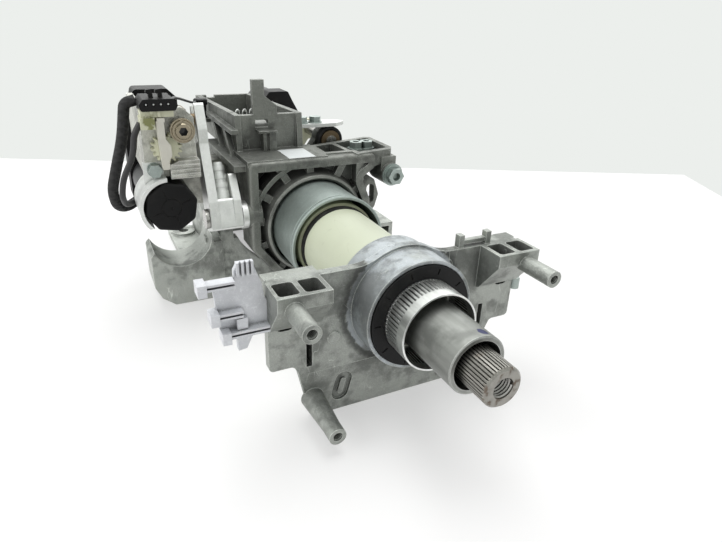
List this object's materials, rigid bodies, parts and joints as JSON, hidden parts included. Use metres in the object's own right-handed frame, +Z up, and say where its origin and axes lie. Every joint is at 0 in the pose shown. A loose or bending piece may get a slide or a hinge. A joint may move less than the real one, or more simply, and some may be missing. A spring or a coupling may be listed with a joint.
{
  "type": "steering column",
  "caption": "Motor driven steering column: splined shaft in a sliding tube, ribbed cast housing that tilts on a bracket, gear motors, rocker lever and front plate.",
  "frame": {"origin": "centre of the steering shaft's splined end face, where the steering wheel sits", "axes": "+Y along the shaft from the wheel end to the rear, +Z up as it lies on a bench, +X to the right hand seen from the wheel end"},
  "size_m": [0.2121, 0.458, 0.1574],
  "materials": {
    "bearing_steel": "ground bearing steel",
    "black_plastic": "black moulded plastic",
    "bronze": "sintered bronze",
    "cast_aluminium": "as-cast aluminium, warm grey, fine grain",
    "cast_zinc_light": "light grey die casting",
    "cast_steel": "dark phosphated forging",
    "cream_plastic": "cream moulded plastic",
    "cream_sleeve": "cream-green low friction sleeve",
    "cream_tube": "cream coated steel tube",
    "bright_steel": "bright pressed steel",
    "grey_plastic": "grey moulded plastic",
    "black_sleeve": "black braided sleeve",
    "light_lead": "white and silver lead",
    "bright_aluminium": "tumbled bright aluminium",
    "motor_steel": "dark coated motor can",
    "nickel": "nickel plated steel",
    "rubber": "black rubber",
    "grey_tube": "satin grey phosphated tube",
    "splined_steel": "machined steel with light surface rust on the splines",
    "strap_metal": "light pressed steel",
    "zinc": "bluish zinc plate"
  },
  "bodies": {
    "bracket": {"mounting_bracket": "cast_aluminium", "pivot_bushes": "bronze", "link_pin": "bearing_steel", "pivot_bolts": "zinc"},
    "housing": {"main_housing": "cast_aluminium", "outer_sleeve": "zinc", "arm_bolts": "zinc", "side_bolt": "zinc", "side_bolt_washer": "zinc", "lever_pin": "bearing_steel", "lever_washer": "bright_aluminium", "drive_carrier": "cast_zinc_light", "tilt_gearbox": "black_plastic", "gearbox_screws": "zinc", "tilt_motor": "motor_steel", "motor_cap": "black_plastic", "motor_strap": "strap_metal", "carrier_screw": "zinc", "sensor_guide": "cream_plastic", "sensor_block": "cream_plastic", "sensor_connector": "black_plastic", "motor_lead": "black_sleeve", "signal_lead": "light_lead", "position_plug": "black_plastic", "trough_clip": "zinc", "reach_front_bush": "bronze", "reach_rubber_ring": "rubber", "reach_cover_plate": "strap_metal", "cover_plate_bolts": "zinc", "reach_gearbox": "black_plastic", "reach_motor": "motor_steel", "rear_plate": "cast_aluminium", "rear_plate_screws": "zinc", "lower_bush": "bronze"},
    "column": {"front_bracket": "cast_aluminium", "bearing_retainer": "black_plastic", "fluted_ring": "bright_steel", "bearing_outer_race": "bearing_steel", "bearing_balls": "bearing_steel", "harness_clip_carrier": "grey_plastic", "ear_clip": "zinc", "inner_tube": "cream_tube", "tube_band": "rubber", "guide_sleeve": "cream_sleeve", "guide_rings": "black_plastic", "reach_nut": "cream_plastic"},
    "shaft": {"steering_shaft": "splined_steel", "shaft_collar_tube": "grey_tube", "bearing_inner_race": "bearing_steel", "shaft_snap_ring": "bearing_steel"},
    "lower_shaft": {"lower_shaft": "zinc", "joint_yoke": "cast_steel"},
    "tilt_lever": {"tilt_lever": "bright_aluminium", "lever_damper": "bright_aluminium"},
    "tilt_nut": {"tilt_nut": "bronze"},
    "tilt_spindle": {"tilt_spindle": "bearing_steel", "spindle_hub": "nickel"},
    "sensor_wheel": {"sensor_wheel": "cream_plastic"},
    "reach_spindle": {"reach_spindle": "bearing_steel"}
  },
  "joints": [
    {"name": "tilt", "type": "hinge", "parent": "bracket", "child": "housing", "pos_m": [0, 0.36, 0], "axis": [1, 0, 0], "range_deg": [-3, 3]},
    {"name": "reach", "type": "slide", "parent": "housing", "child": "column", "axis": [0, 1, 0], "range_m": [-0.03, 0.03]},
    {"name": "steering", "type": "hinge", "parent": "column", "child": "shaft", "pos_m": [0, 0.07, 0], "axis": [0, 1, 0], "continuous": true},
    {"name": "lower_steering", "type": "hinge", "parent": "housing", "child": "lower_shaft", "pos_m": [0, 0.378, 0], "axis": [0, 1, 0], "continuous": true},
    {"name": "lever_swing", "type": "hinge", "parent": "housing", "child": "tilt_lever", "pos_m": [-0.06, 0.214, 0.011], "axis": [1, 0, 0], "range_deg": [-13, 13]},
    {"name": "nut_travel", "type": "slide", "parent": "housing", "child": "tilt_nut", "axis": [0, 1, 0], "range_m": [-0.015, 0.015]},
    {"name": "spindle_turn", "type": "hinge", "parent": "housing", "child": "tilt_spindle", "pos_m": [-0.086, 0.24, 0.072], "axis": [0, 1, 0], "range_deg": [-1400, 1400]},
    {"name": "sensor_wheel_turn", "type": "hinge", "parent": "housing", "child": "sensor_wheel", "pos_m": [-0.09537, 0.2065, 0.0616], "axis": [0, 1, 0], "range_deg": [-1050, 1050]},
    {"name": "reach_spindle_turn", "type": "hinge", "parent": "housing", "child": "reach_spindle", "pos_m": [0.03269, 0.3, 0.04669], "axis": [0, 1, 0], "range_deg": [-2720, 2720]}
  ],
  "couplings": [
    {"joint": "lower_steering", "follows": "steering", "ratio": 1},
    {"joint": "lever_swing", "follows": "tilt", "ratio": 4.0345},
    {"joint": "nut_travel", "follows": "tilt", "m_per_rad": -0.28098},
    {"joint": "spindle_turn", "follows": "tilt", "ratio": -441.37},
    {"joint": "sensor_wheel_turn", "follows": "tilt", "ratio": 331.03},
    {"joint": "reach_spindle_turn", "follows": "reach", "rad_per_m": 1570.8}
  ]
}
